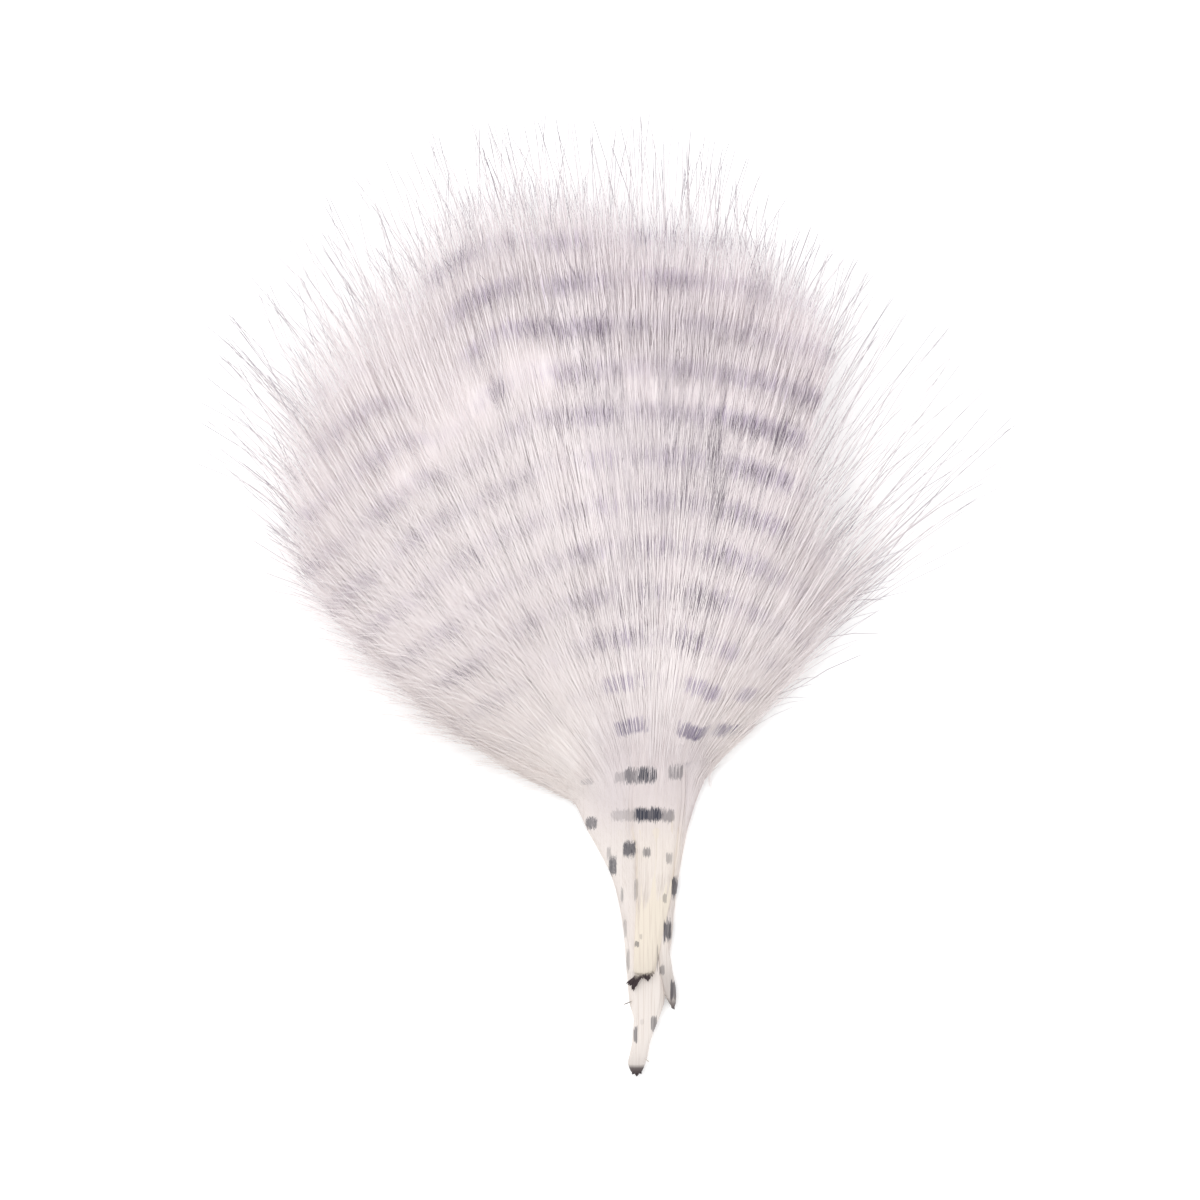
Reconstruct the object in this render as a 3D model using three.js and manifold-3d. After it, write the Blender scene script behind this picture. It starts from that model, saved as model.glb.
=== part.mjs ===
// A barred marabou plume, lying as it was picked: three soft feathers pressed one on another, so that
// their quills make one narrow stem and their barbs one open fan. Each feather grew as one piece, so
// each is one solid: a quill with its barbs gathered in locks that reach the tips of the longest barbs.
// Millimetres, +Z up, +Y from the cut quills to the tips, +X to the right, resting on z = 0. The throat,
// where the fan opens out of the stem, is at x = 0, y = 0 until the whole is centred at the end.
import * as THREE from "three";
import { mergeVertices } from "three/addons/utils/BufferGeometryUtils.js";
import Module from "manifold-3d";

// Tips of the longest barbs, seen from the throat: degrees right of +Y, then millimetres.
const TIP_OUTLINE = [
  [-66, 25], [-61.5, 38], [-57, 57], [-53, 71], [-46, 91], [-38, 102], [-28, 107], [-15, 109], [-5, 108],
  [4, 104], [11, 96], [20, 89], [30, 86], [38, 82], [41.5, 70], [43.5, 54], [45, 38], [47, 24],
];
const FAR_TIP = 109;
const SHOULDER = 15; // how far from the throat the barbs take up their spread
const FULL_BOW = 75; // barbs this long have their feather's whole bow, and shorter ones less

// Depth of the pile of barbs: thin on the stem, deepest part way up the fan, thin again at the tips.
const STEM_DEPTH = 4.8;
const PILE_DEPTH = 14;
const TIP_DEPTH = 7;
const PILE_FULL_FROM = 42;
const PILE_FULL_TO = 62;
const LAYER_GAP = 0.5; // kept between the two lower feathers and the one that lies on them

// Where the two lower feathers lie against each other, from below the stem to past the tips.
const PARTING = [
  [1.9, -60], [1.8, -24.5], [1.25, -21], [0.75, -16.5], [0.45, -12], [0.3, -8], [0.2, 0], [0.2, 30], [1, 130],
];
const PARTING_GAP = 0.4;

const QUILL_SIDES = 12;
const QUILL_ROWS = 14;
const LOCK_SIDES = 6;
const LOCK_ROWS = 7;
const LOCK_ROOT = 0.45; // half width of a lock where it leaves the quill
const LOCK_TIP = 0.12; // and where it ends
const LOCK_WIDEST = 3.6;
const LOCK_FLATNESS = 0.48; // thickness of a lock against its width
const BLOCK = 400; // larger than the plume

const CREAM = 0xe9e2d8;
const WHITE = 0xe6dfe1;

// Each quill is a list of stations from the cut end up: x, y, width, thickness. A knob is the dried end
// of the quill: x, y, and half its size each way. The fan is stated by the angles of its first and last
// lock, where those two pass the throat, how far the barbs bow outwards on their way, and their length
// against the outline. rootLow and rootHigh are shares of the quill between which the barbs leave it.
const FEATHERS = [
  {
    name: "left_feather",
    color: WHITE,
    seed: 11,
    lower: true,
    quill: [
      [-2.1, -35.8, 1.7, 1.5], [-1.9, -34.2, 2.5, 2.0], [-1.3, -31.8, 2.7, 2.1], [-0.9, -28.8, 3.6, 2.1],
      [-0.8, -24.5, 4.5, 2.2], [-1.2, -20, 4.0, 2.2], [-1.7, -15, 3.9, 2.2], [-2.2, -9, 3.6, 2.2],
      [-2.8, -2, 2.6, 2.1], [-4.0, 8, 1.8, 1.8], [-6.5, 20, 1.0, 1.0],
    ],
    knobs: [[-2.1, -35.9, 0.95, 0.8, 0.85]],
    locks: 24,
    from: -65,
    to: -4,
    gate: [-8.2, -0.7],
    bow: 0.28,
    rachisAngle: -20,
    rootLow: 0.36,
    rootHigh: 0.92,
    reach: 1,
  },
  {
    name: "right_feather",
    color: WHITE,
    seed: 29,
    lower: true,
    quill: [
      [3.5, -26.9, 0.7, 0.8], [3.35, -25.8, 1.3, 1.5], [3.0, -24, 1.7, 1.9], [2.5, -21, 1.8, 2.0],
      [2.0, -16.5, 1.9, 2.1], [2.0, -12, 2.2, 2.1], [2.3, -8, 2.6, 2.1], [2.9, -2, 2.4, 2.1],
      [4.4, 8, 1.7, 1.7], [6.6, 18, 1.0, 1.0],
    ],
    knobs: [],
    locks: 18,
    from: 5,
    to: 43,
    gate: [1.1, 4.6],
    bow: 0,
    rachisAngle: 21,
    rootLow: 0.36,
    rootHigh: 0.92,
    reach: 1,
  },
  {
    name: "top_feather",
    color: CREAM,
    seed: 47,
    lower: false,
    quill: [
      [-0.9, -21.9, 2.0, 1.1], [-0.9, -21.2, 2.9, 1.7], [-0.7, -19, 3.1, 1.8], [-0.3, -16, 3.6, 1.8],
      [0.5, -10.5, 4.1, 1.9], [0.9, -5, 4.2, 1.9], [1.0, 0, 3.6, 1.9], [0.6, 9, 2.2, 1.8],
      [-0.4, 24, 1.0, 1.0],
    ],
    knobs: [[-2.0, -22.3, 1.5, 0.8, 0.55], [0.2, -21.9, 0.7, 0.6, 0.5]],
    locks: 20,
    from: -30,
    to: 37,
    gate: [-2.9, 4.0],
    bow: 0.08,
    rachisAngle: 0,
    rootLow: 0.36,
    rootHigh: 0.92,
    reach: 0.94,
  },
];

const wasm = await Module();
wasm.setup();

// A repeatable stream of numbers from 0 to 1.
function randomStream(seed) {
  let state = seed;
  return () => {
    state = (state * 16807) % 2147483647;
    return state / 2147483647;
  };
}

// The value at x of a list of [x, value], straight between its points.
function along(list, x) {
  const next = list.findIndex(([at]) => at >= x);
  if (next === 0) return list[0][1];
  if (next < 0) return list[list.length - 1][1];
  const [x0, v0] = list[next - 1];
  const [x1, v1] = list[next];
  return THREE.MathUtils.mapLinear(x, x0, x1, v0, v1);
}

// The place at a distance from the throat, at an angle in degrees right of +Y.
function polar(distance, degrees) {
  const angle = THREE.MathUtils.degToRad(degrees);
  return new THREE.Vector2(Math.sin(angle) * distance, Math.cos(angle) * distance);
}

// A closed mesh as a solid that can be joined and cut.
function solidOf(geometry) {
  geometry.deleteAttribute("normal");
  geometry.deleteAttribute("uv");
  const merged = mergeVertices(geometry, 1e-4);
  return new wasm.Manifold(
    new wasm.Mesh({
      numProp: 3,
      vertProperties: new Float32Array(merged.attributes.position.array),
      triVerts: new Uint32Array(merged.index.array),
    }),
  );
}

function geometryOf(solid) {
  const mesh = solid.getMesh();
  const geometry = new THREE.BufferGeometry();
  geometry.setAttribute("position", new THREE.BufferAttribute(mesh.vertProperties, mesh.numProp));
  geometry.setIndex(new THREE.BufferAttribute(mesh.triVerts, 1));
  return geometry;
}

// A unit cylinder carried along a curve in plan. size(t) gives half its width and half its thickness,
// and height(point, half) the height of its middle.
function carry(curve, sides, rows, size, height) {
  const geometry = new THREE.CylinderGeometry(1, 1, 1, sides, rows);
  const position = geometry.attributes.position;
  for (let i = 0; i < position.count; i++) {
    const t = position.getY(i) + 0.5;
    const point = curve.getPoint(t);
    const tangent = curve.getTangent(t);
    const [halfWidth, halfThickness] = size(t);
    const across = position.getX(i) * halfWidth;
    const up = position.getZ(i) * halfThickness;
    const middle = height(point, halfThickness);
    position.setXYZ(i, point.x + tangent.y * across, point.y - tangent.x * across, middle + up);
  }
  return solidOf(geometry);
}

// Depth of the whole pile over a place in plan.
function pileDepth(point) {
  const distance = Math.hypot(point.x, Math.max(point.y, 0));
  const rise = THREE.MathUtils.smoothstep(distance, 0, PILE_FULL_FROM);
  const fall = THREE.MathUtils.smoothstep(distance, PILE_FULL_TO, FAR_TIP);
  return STEM_DEPTH + (PILE_DEPTH - STEM_DEPTH) * rise - (PILE_DEPTH - TIP_DEPTH) * fall;
}

// Height of the middle of something half as thick as given: in the lower half of the pile, pressed a
// little flat on the floor, or in the upper half. raised is from 0, as low as it lies, to 1.
function layerHeight(feather, point, half, raised) {
  const depth = pileDepth(point);
  const parting = (depth + (feather.lower ? -LAYER_GAP : LAYER_GAP)) / 2;
  if (feather.lower) return THREE.MathUtils.lerp(0.75 * half, Math.max(parting - half, 0.75 * half), raised);
  return THREE.MathUtils.lerp(parting + half, Math.max(depth - half, parting + half), raised);
}

function quillLine(feather) {
  return new THREE.SplineCurve(feather.quill.map(([x, y]) => new THREE.Vector2(x, y)));
}

function quillOf(feather) {
  const last = feather.quill.length - 1;
  const widths = feather.quill.map(([, , width], i) => [i / last, width / 2]);
  const depths = feather.quill.map(([, , , thickness], i) => [i / last, thickness / 2]);
  return carry(
    quillLine(feather),
    QUILL_SIDES,
    QUILL_ROWS,
    (t) => [along(widths, t), along(depths, t)],
    (point, half) => layerHeight(feather, point, half, 0),
  );
}

// The dried lump at the end of a quill.
function knobOf(feather, [x, y, halfX, halfY, halfZ]) {
  const height = layerHeight(feather, { x, y }, halfZ, 0);
  return solidOf(new THREE.SphereGeometry(1, 8, 6).scale(halfX, halfY, halfZ).translate(x, y, height));
}

// The plan of one lock of barbs: it leaves the quill, passes the throat at its gate, takes up its
// spread at the shoulder and bows out to its tip.
function lockLine(feather, angle, radius) {
  const line = quillLine(feather);
  const half = (feather.to - feather.from) / 2;
  const spread = Math.min(1, Math.abs(angle - feather.rachisAngle) / half);
  const root = line.getPoint(THREE.MathUtils.lerp(feather.rootHigh, feather.rootLow, Math.pow(spread, 0.6)));
  const bow = feather.bow * Math.min(1, radius / FULL_BOW);
  const onFan = (share) => {
    const distance = THREE.MathUtils.lerp(SHOULDER, radius, share);
    return polar(distance, angle * (1 + bow * (1 - distance / radius)));
  };
  const gateX = THREE.MathUtils.mapLinear(angle, feather.from, feather.to, ...feather.gate);
  const gate = root.y < -3 ? [new THREE.Vector2(gateX, 0)] : [];
  const shoulder = root.y < SHOULDER - 4 ? [onFan(0)] : [];
  return new THREE.SplineCurve([root, ...gate, ...shoulder, onFan(0.33), onFan(0.66), onFan(1)]);
}

function lockOf(feather, angle, random) {
  const radius = along(TIP_OUTLINE, angle) * feather.reach * (0.9 + 0.1 * random());
  const spacing = (THREE.MathUtils.degToRad(feather.to - feather.from) / feather.locks) * radius;
  const widest = Math.min(LOCK_WIDEST, spacing * (0.9 + 0.3 * random()));
  const raised = random();
  return carry(
    lockLine(feather, angle, radius),
    LOCK_SIDES,
    LOCK_ROWS,
    (t) => {
      const swell = Math.pow(Math.sin(Math.PI * Math.pow(t, 1.4)), 0.85);
      const width = THREE.MathUtils.lerp(LOCK_ROOT, LOCK_TIP, t) + widest * swell;
      return [width, Math.max(LOCK_TIP, width * LOCK_FLATNESS)];
    },
    (point, thick) => layerHeight(feather, point, thick, raised),
  );
}

// All that lies on one side of the parting: side is 1 for the right of it and -1 for the left.
function besideParting(side) {
  const edge = PARTING.map(([x, y]) => new THREE.Vector2(x - (side * PARTING_GAP) / 2, y));
  const outline = [
    ...edge,
    new THREE.Vector2(side * BLOCK, edge[edge.length - 1].y),
    new THREE.Vector2(side * BLOCK, edge[0].y),
  ];
  const slab = new THREE.ExtrudeGeometry(new THREE.Shape(outline), { depth: 40, bevelEnabled: false });
  return solidOf(slab.translate(0, 0, -10));
}

function featherOf(feather) {
  const random = randomStream(feather.seed);
  let whole = quillOf(feather);
  for (const knob of feather.knobs) whole = whole.add(knobOf(feather, knob));
  for (let i = 0; i < feather.locks; i++) {
    const share = (i + 0.7 * (random() - 0.5)) / (feather.locks - 1);
    const angle = THREE.MathUtils.lerp(feather.from, feather.to, THREE.MathUtils.clamp(share, 0, 1));
    whole = whole.add(lockOf(feather, angle, random));
  }
  whole = whole.subtract(solidOf(new THREE.BoxGeometry(BLOCK, BLOCK, 20).translate(0, 0, -10)));
  if (feather.lower) whole = whole.subtract(besideParting(feather.gate[0] < 0 ? 1 : -1));
  const material = new THREE.MeshStandardMaterial({ color: feather.color, roughness: 0.9, metalness: 0 });
  const mesh = new THREE.Mesh(geometryOf(whole), material);
  mesh.name = feather.name;
  return mesh;
}

const plume = new THREE.Group();
for (const feather of FEATHERS) plume.add(featherOf(feather));

// The origin goes to the middle of the footprint, on the floor.
const box = new THREE.Box3().setFromObject(plume);
const centre = box.getCenter(new THREE.Vector3());
for (const mesh of plume.children) mesh.position.set(-centre.x, -centre.y, -box.min.z);

export default plume;
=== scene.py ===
import bpy
import numpy as np
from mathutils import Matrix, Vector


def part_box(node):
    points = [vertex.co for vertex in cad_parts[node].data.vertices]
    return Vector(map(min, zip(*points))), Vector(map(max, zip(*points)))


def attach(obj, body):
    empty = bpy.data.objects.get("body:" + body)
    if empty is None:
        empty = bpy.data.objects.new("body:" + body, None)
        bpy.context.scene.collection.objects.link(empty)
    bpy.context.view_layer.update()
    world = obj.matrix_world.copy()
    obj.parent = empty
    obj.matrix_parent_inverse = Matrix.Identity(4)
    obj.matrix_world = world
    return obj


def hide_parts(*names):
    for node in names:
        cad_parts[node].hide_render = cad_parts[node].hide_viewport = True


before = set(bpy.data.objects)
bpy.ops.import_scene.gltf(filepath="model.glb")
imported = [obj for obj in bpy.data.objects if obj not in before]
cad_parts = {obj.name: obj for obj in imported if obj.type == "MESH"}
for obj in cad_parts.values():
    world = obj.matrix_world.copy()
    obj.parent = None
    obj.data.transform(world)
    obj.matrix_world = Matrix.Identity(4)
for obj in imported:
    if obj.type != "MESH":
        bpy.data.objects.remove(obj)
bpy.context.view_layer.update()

MM = 0.001
STEM_LENGTH = 36.7  # from the throat down to the lowest quill's end
PARTING_EDGE = 0.4  # from the throat to the right feather's inner edge
THROAT_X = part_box("right_feather")[0].x / MM - PARTING_EDGE
THROAT_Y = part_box("left_feather")[0].y / MM + STEM_LENGTH

# Depth of the pile of barbs over the floor, as in the solids.
STEM_DEPTH = 4.8
PILE_DEPTH = 14.0
TIP_DEPTH = 7.0
PILE_FULL_FROM = 42.0
PILE_FULL_TO = 62.0
FAR_TIP = 109.0
SIDE_DEPTH = 0.3  # share of the depth that is left at the two sides of the fan
LOWEST_STRAND = 0.12  # over the floor

SHOULDER = 15.0  # how far from the throat the barbs take up their spread
FULL_BOW = 75.0  # barbs of this length and more have their feather's whole bow
FAN_LIMITS = (-67, 45)  # no strand starts out beyond these angles

# Reach of the longest hairs and of the dense down: degrees right of +Y, then millimetres.
HAIR_REACH = [
    (-66, 25), (-61.5, 38), (-57, 57), (-53, 71), (-46, 91), (-38, 102), (-28, 107.5), (-15, 110),
    (-5, 109), (4, 105), (11, 97), (20, 90), (30, 87), (38, 82), (41, 66), (42.5, 48), (44, 34),
]
DOWN_REACH = [
    (-68, 12), (-65, 20), (-62, 31), (-60, 40), (-57, 51), (-54, 62), (-50, 71), (-45, 78), (-40, 85),
    (-35, 88.5), (-30, 90.5), (-25, 92.5), (-20, 96), (-15, 98.5), (-8, 96.5), (0, 91), (10, 88.5),
    (16, 85), (20.5, 79), (23, 62), (27, 57), (33, 53), (37, 49), (39.5, 42), (41, 35), (42.5, 29),
    (44, 24),
]

# Bars: the first lies this far from the throat and the others follow at one pitch. A bar's full dark
# reaches BAR_CORE to either side of its middle near the throat and has faded out at BAR_EDGE.
FIRST_BAR = 2.7
BAR_PITCH = 6.63
BETWEEN_BARS = FIRST_BAR + BAR_PITCH / 2
BAR_CORE = 0.85
BAR_EDGE = 1.3
FAINT_BARS = 0.07  # strength of the bars outside the areas below

# Where the barring is strong: middle angle, half width in degrees, from and to in millimetres, strength.
BARRED = [
    (-8, 9, 27, 50, 0.24), (1, 6, 19, 46, 0.16),
    (15, 6.5, 58, 80, 0.36), (-42, 13, 30, 76, 0.17), (-56, 4, 24, 56, 0.08), (-24, 8, 30, 56, 0.16),
    (-13, 9, 60, 93, 0.32), (3, 6, 42, 92, 0.26), (28, 6, 34, 54, 0.16), (10, 2.5, 50, 92, 0.28),
]
# Pieces of bars that show clearly, whatever the patches of the barring: each has its window, as above.
CLEAR_BARS = [
    (-10, 9, 13.2, 18, 0.7), (21.5, 7, 13.5, 19, 0.75), (37, 5, 16.5, 22, 0.75),
    (-10.5, 4, 19.5, 24.5, 0.45), (19, 7, 20, 26, 0.52), (35, 2.5, 22, 28, 0.4),
    (-8, 3.5, 26, 31, 0.36), (11, 4.5, 26, 31.5, 0.44), (21, 5, 27, 33, 0.28),
    (-12.5, 3, 33, 38, 0.2), (0, 3, 32, 37, 0.3), (14, 6.5, 33, 39, 0.34), (26, 2, 36, 42, 0.3),
    (-13.5, 3, 39.5, 45, 0.18), (1, 3.2, 39, 44, 0.27), (16, 7.5, 39.5, 47, 0.35),
    (3, 7, 46, 51, 0.24), (18, 6.5, 46, 53, 0.37), (17, 5.5, 53, 59, 0.38),
]
# Streaks of dark barbs: middle angle, half width, from and to in millimetres, strength.
STREAKED = [
    (11.6, 0.8, 47, 52, 0.9), (10.2, 0.8, 51, 57, 0.85), (9, 0.8, 56, 62, 0.7),
    (5, 1.6, 49, 58, 0.45), (3, 6, 44, 74, 0.28), (29, 6, 34, 52, 0.14), (0.5, 1.2, 28, 36, 0.3),
    (-4, 5, 20, 66, 0.24),
]
# Clumps of dark spikes: middle angle, spread, from and to in millimetres, how many.
CLUMPS = [
    (11.5, 0.35, 49, 53, 50), (10.3, 0.4, 52, 58, 50), (9.2, 0.4, 57, 62, 40), (11.2, 0.7, 78, 90, 50),
    (-1.0, 0.9, 27, 34, 16), (4, 3.0, 50, 70, 80),
]
CLUMP_DARKNESS = 0.9
SPIKED_BARS = (4, 15)  # the other spikes stand on these bars from the throat, the last one left out

# Each feather: its node, the seed of its random draws, its fan's first and last angle, the bow of its
# barbs, the angles that its felted down fills, whether it lies on the others, its slot, the edges of its
# strip of the stem (height from the throat, left edge, right edge), how dark the strip is towards its
# dried end (height, darkness), the strip's middle height and how far it rises and sinks from it, and how
# many barbs, tufts and spikes it carries.
FEATHERS = {
    "left": dict(
        node="left_feather", seed=11, fan=(-66, -1), bow=0.28, bed=(-64, 2), upper=False, slot="white_down",
        strip=[
            (-36.7, -2.5, -1.45), (-36.2, -2.95, -1.1), (-35.4, -3.1, -0.95), (-34.8, -3.3, -0.7),
            (-33.6, -3.0, -0.35), (-32, -2.65, -0.1), (-30, -2.45, 0.55), (-28, -2.35, 1.35),
            (-26, -2.95, 2.0), (-24, -3.15, 2.2), (-21.3, -3.4, 2.1), (-16, -3.8, 1.4),
            (-12.3, -4.05, 0.6), (-10, -4.15, 0.3), (-8.7, -4.6, 0.1), (-6, -5.95, 0), (-3.3, -7.35, -0.2),
            (0, -9.2, -0.5),
        ],
        dried=[(-36.7, 1), (-35.6, 0.95), (-35.1, 0.2), (-33.5, 0.06), (-31, 0)],
        middle=1.2, rise=1.05, sink=1.05, barbs=1900, tufts=10500, spikes=3400,
    ),
    "right": dict(
        node="right_feather", seed=29, fan=(2, 43), bow=0.0, bed=(-2, 39.5), upper=False, slot="white_down",
        strip=[
            (-26.8, 3.3, 3.7), (-26, 2.95, 3.85), (-25, 2.4, 3.9), (-23.5, 1.9, 3.8), (-21.3, 1.3, 3.35),
            (-18, 0.8, 2.85), (-16, 0.6, 2.9), (-14, 0.6, 3.2), (-8.7, 0.5, 3.85), (-5.1, 0.5, 4.35),
            (0, 0.7, 5.3),
        ],
        dried=[(-26.8, 0.95), (-25.8, 0.75), (-25, 0.35), (-22, 0.28), (-19.5, 0.1), (-17, 0)],
        middle=1.2, rise=1.05, sink=1.05, barbs=900, tufts=4800, spikes=900,
    ),
    "top": dict(
        node="top_feather", seed=47, fan=(-9, 22), bow=0.0, bed=(-4.5, 18.5), upper=True, slot="cream_barbs",
        strip=[
            (-22.0, -2.35, 0.3), (-21.3, -2.4, 0.6), (-19, -2.4, 1.1), (-16.5, -2.3, 1.6),
            (-10.5, -1.95, 2.9), (-3, -1.9, 3.9), (0, -2.6, 4.2),
        ],
        dried=[(-22, 0.9), (-21.7, 0.4), (-21.3, 0.1), (-19.5, 0.04), (-17, 0)],
        middle=2.15, rise=1.4, sink=0.45, barbs=1000, tufts=6200, spikes=2300,
    ),
}
BED_SHARE = 0.965  # height of the felted down in the layer
EDGE_SHARE = 0.09  # share of the strands that start out at a side of the plume
EDGE_WIDTH = 7  # degrees of that side
BARB_REACH = 1.02  # a barb's length as a share of the down's reach

# Loose strands: how many of each kind and the seed of its random draws.
HAIRS = 1200
HAIR_SEED = 83
EDGE_WISPS = 1500
TOP_WISPS = 850
WISP_SEED = 97
SHAFTS = 170
SHAFT_SEED = 61
LOOSE_STATIONS = np.array([0, 0.25, 0.5, 0.75, 0.95, 1])  # shares of a loose fibre's length
LOOSE_REACH = 100
SHAFT_REACH = 90

# Dark marks on the stem and the throat's two bars: x, y, half width, half length, darkness.
STEM_MARKS = [
    (-0.3, 2.45, 2.2, 0.98, 1.0), (2.7, 2.2, 0.95, 0.9, 0.6), (-4.1, 2.3, 1.7, 0.85, 0.3),
    (-0.4, 8.4, 1.4, 1.15, 0.95), (-2.5, 8.2, 1.4, 1.1, 0.7), (-4.4, 8.0, 0.9, 0.8, 0.3),
    (3.8, 8.8, 1.1, 1.05, 0.55),
    (-9.4, 7.4, 0.9, 0.5, 0.3), (-8.8, 1.1, 0.85, 0.85, 0.75), (-5.6, -5.3, 0.6, 1.3, 0.85),
    (-6.2, -3.4, 0.3, 0.9, 0.4), (-3.1, -2.8, 0.95, 1.1, 0.9), (-0.5, -3.2, 0.6, 0.65, 0.65),
    (2.8, -4.1, 0.5, 0.8, 0.45), (-2.1, -8.8, 0.3, 1.4, 0.35), (2.2, -10.1, 0.3, 0.6, 0.5),
    (3.65, -8.5, 0.45, 1.5, 0.85), (2.6, -14.9, 0.6, 1.5, 0.85), (-1.95, -16.9, 0.3, 0.4, 0.7),
    (-1.4, -15.8, 0.2, 0.4, 0.3), (-3.75, -14.8, 0.25, 1.3, 0.35), (-3.3, -19.6, 0.25, 1.6, 0.45),
    (-4.2, -9.7, 0.2, 1.0, 0.45), (1.8, -20.9, 0.4, 0.7, 0.55), (3.45, -24.0, 0.45, 1.3, 0.85),
    (0.6, -29.0, 0.5, 1.2, 0.65), (-2.2, -30.7, 0.3, 1.2, 0.7), (-1.2, -28.7, 0.3, 0.4, 0.15),
    (1.1, -19.0, 0.12, 1.6, 0.4),
]
# Torn fibres at the ends of the quills: from x, y to x, y, half width, height, darkness.
TORN = [
    (-1.7, -21.5, -3.65, -22.95, 0.16, 2.9, 1), (-1.9, -21.6, -3.4, -23.15, 0.2, 2.9, 1),
    (-2.0, -21.4, -3.1, -23.3, 0.26, 2.9, 1), (-1.9, -21.5, -2.75, -23.9, 0.26, 2.8, 1),
    (-2.1, -21.6, -2.5, -24.1, 0.16, 2.8, 1), (-1.7, -21.5, -2.3, -23.5, 0.28, 2.9, 1),
    (-1.5, -21.4, -2.0, -22.9, 0.24, 3.0, 1), (-1.2, -21.4, -1.8, -22.5, 0.2, 3.0, 1),
    (-1.2, -21.3, -1.1, -22.2, 0.2, 3.0, 0.9), (-0.9, -21.3, -0.6, -22.3, 0.2, 3.0, 1),
    (-0.5, -21.3, -0.3, -22.6, 0.22, 3.1, 1), (-0.2, -21.2, -0.05, -22.3, 0.18, 3.0, 0.95),
    (0.1, -21.1, 0.35, -21.9, 0.14, 3.0, 0.8), (0.3, -20.9, 0.65, -21.5, 0.1, 3.0, 0.6),
    (-2.6, -25.5, -4.05, -26.15, 0.07, 1.5, 0.8), (-0.7, -34.2, -0.1, -34.75, 0.06, 1.2, 0.3),
    (-2.1, -35.8, -2.7, -36.6, 0.25, 1.1, 1), (-1.8, -35.8, -1.3, -36.5, 0.25, 1.2, 1),
    (-1.95, -35.7, -2.0, -36.9, 0.3, 1.3, 1), (3.3, -25.6, 3.65, -26.95, 0.14, 1.2, 1),
    (3.2, -25.8, 3.35, -26.8, 0.12, 1.4, 0.9),
]

# Colours, sRGB from 0 to 255.
WHITE = (247, 240, 240)
CREAM = (243, 235, 236)
HORN = (228, 219, 215)
DARK_TIP = (92, 76, 98)
DRIED_END = (66, 56, 58)
SHADE_NEAR = (222, 210, 210)  # of the darker strands, near the throat
SHADE_FAR = (232, 222, 232)  # and far from it
# painted shade over the throat, where the pile shades itself
PAINTED_THROAT_SHADE = (196, 184, 192)
SLATE = (50, 56, 76)
MAUVE = (132, 102, 166)
PRESSED_LINE = (196, 182, 172)
STEM_MARK = (58, 60, 72)
PAPER = (250, 250, 250)


def smoothstep(value, low, high):
    """0 below low, 1 above high, and 3t^2 - 2t^3 between."""
    t = np.clip((value - low) / (high - low), 0, 1)
    return t * t * (3 - 2 * t)


def reach(outline, angle):
    """The outline's distance at an angle, straight between its points."""
    return np.interp(angle, *np.array(outline, float).T)


def patches(angle, distance, seed, wide=5.0, long=9.0):
    """Smooth random patches from 0 to 1: a lattice of random values, wide degrees by long millimetres,
    blended between its corners with smoothstep weights."""
    lattice = np.random.default_rng(seed).random((64, 64))
    u = (np.asarray(angle) + 90) / wide
    v = (np.asarray(distance) + 60) / long
    i, j = np.floor(u).astype(int), np.floor(v).astype(int)
    fu, fv = smoothstep(u - i, 0, 1), smoothstep(v - j, 0, 1)

    def at(di, dj):
        return lattice[(i + di) % 64, (j + dj) % 64]

    low = at(0, 0) * (1 - fu) + at(1, 0) * fu
    high = at(0, 1) * (1 - fu) + at(1, 1) * fu
    return low * (1 - fv) + high * fv


def windows(areas, angle, distance, soft):
    """The strongest of some areas at a place, each a window in angle and distance with soft edges."""
    strength = np.zeros(np.broadcast(angle, distance).shape)
    for middle, half, low, high, most in areas:
        across = 1 - smoothstep(np.abs(angle - middle), half * 0.75, half * 1.25)
        along = smoothstep(distance, low - soft, low) * (1 - smoothstep(distance, high, high + soft))
        strength = np.maximum(strength, most * across * along)
    return strength


def barring(plan, seed):
    """Strength of the bars at places in plan, from 0 to 1: the barred areas times random patches of two
    sizes, or the clear bars where they are stronger. Past the barred areas faint bars remain."""
    distance, angle = polar(plan)
    faint = FAINT_BARS * smoothstep(distance, 12, 20)
    strength = np.maximum(windows(BARRED, angle, distance, 2.5), faint)
    coarse = patches(angle, distance, seed)
    fine = patches(angle, distance, seed + 1, 110 / (distance + 15), 6.6)
    patch = 0.1 + 1.3 * smoothstep(coarse * 0.35 + fine * 0.75, 0.3, 0.85)
    clear = windows(CLEAR_BARS, angle, distance, 2.0)
    return np.clip(np.maximum(strength * patch, clear), 0, 1)


def bar_shift(key, plan):
    """How far the bars lie beyond their even pitch: on the left feather they arch over the top of the
    fan and rise to its left edge, and they rise towards the right feather's edge near the throat."""
    distance, angle = polar(plan)
    if key == "left":
        arch = smoothstep(distance, 50, 72) * smoothstep(angle, -34, -27)
        arched = np.clip(1.6 - 4.6 * ((angle + 15) / 10) ** 2, -3.3, 1.6) * arch
        return arched + 0.22 * np.clip(-45 - angle, 0, 20) * smoothstep(distance, 15, 30)
    return 0.25 * np.clip(angle - 25, 0, 20) * (1 - smoothstep(distance, 26, 40))


def polar(plan):
    """Distance from the throat and degrees right of +Y of places in plan."""
    return np.hypot(plan[..., 0], plan[..., 1]), np.degrees(np.arctan2(plan[..., 0], plan[..., 1]))


def pile_depth(distance):
    """Depth of the pile: it rises from the stem to the middle of the fan and falls to the tips."""
    rise = smoothstep(distance, 0, PILE_FULL_FROM)
    fall = smoothstep(distance, PILE_FULL_TO, FAR_TIP)
    return STEM_DEPTH + (PILE_DEPTH - STEM_DEPTH) * rise - (PILE_DEPTH - TIP_DEPTH) * fall


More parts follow.
